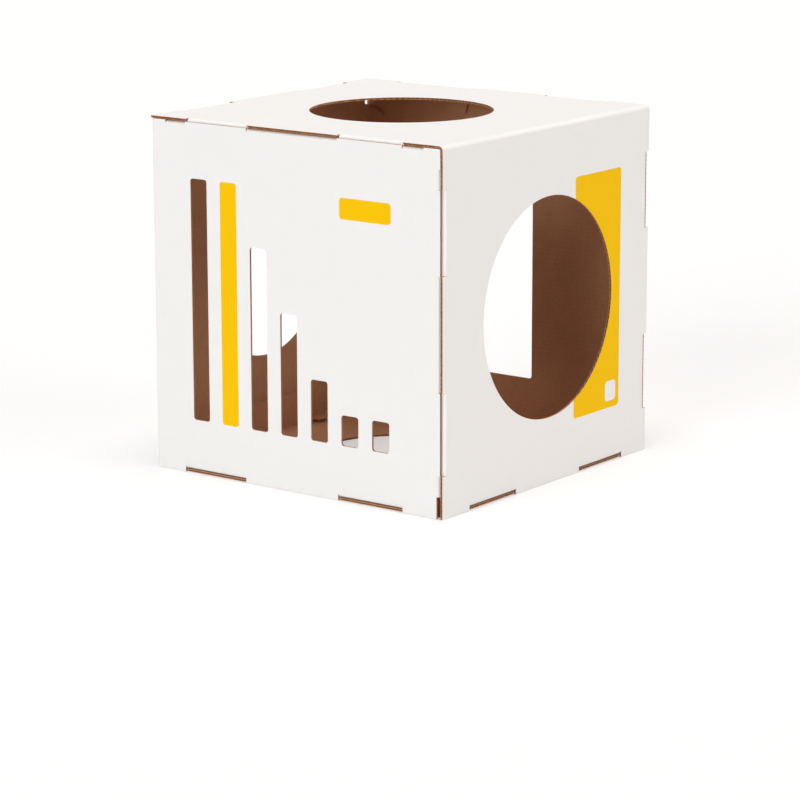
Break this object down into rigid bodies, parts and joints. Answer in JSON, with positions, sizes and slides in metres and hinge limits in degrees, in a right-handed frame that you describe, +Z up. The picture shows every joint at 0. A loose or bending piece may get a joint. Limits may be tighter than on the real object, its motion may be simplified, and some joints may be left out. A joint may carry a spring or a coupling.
{
  "type": "cardboard cat house",
  "caption": "Cube-shaped cat house of white corrugated board, closed by fold-in tabs, with round doorways, a tall window and a row of column-shaped slots.",
  "frame": {"origin": "middle of the ground face, on the floor", "axes": "+Z up, the panel with the column slots faces -Y, +X to the right seen from the front"},
  "size_m": [0.484, 0.48, 0.484],
  "materials": {
    "white_faced_board": "white coated liner outside, bare kraft liner inside, brown flutes at the cut edges, yellow print on the front and right panels"
  },
  "bodies": {
    "base": {"bottom_panel": "white_faced_board", "left_panel": "white_faced_board", "right_panel": "white_faced_board"},
    "top": {"top_panel": "white_faced_board"},
    "front": {"front_panel": "white_faced_board"},
    "back": {"back_panel": "white_faced_board"}
  },
  "joints": [
    {"name": "top_fold", "type": "hinge", "parent": "base", "child": "top", "pos_m": [0.24023, 0, 0.48223], "axis": [0, 1, 0], "range_deg": [0, 90]},
    {"name": "front_fold", "type": "hinge", "parent": "base", "child": "front", "pos_m": [-0.24023, -0.23823, 0.242], "axis": [0, 0, -1], "range_deg": [0, 90]},
    {"name": "back_fold", "type": "hinge", "parent": "base", "child": "back", "pos_m": [0, 0.23823, 0.00177], "axis": [-1, 0, 0], "range_deg": [0, 90]}
  ]
}
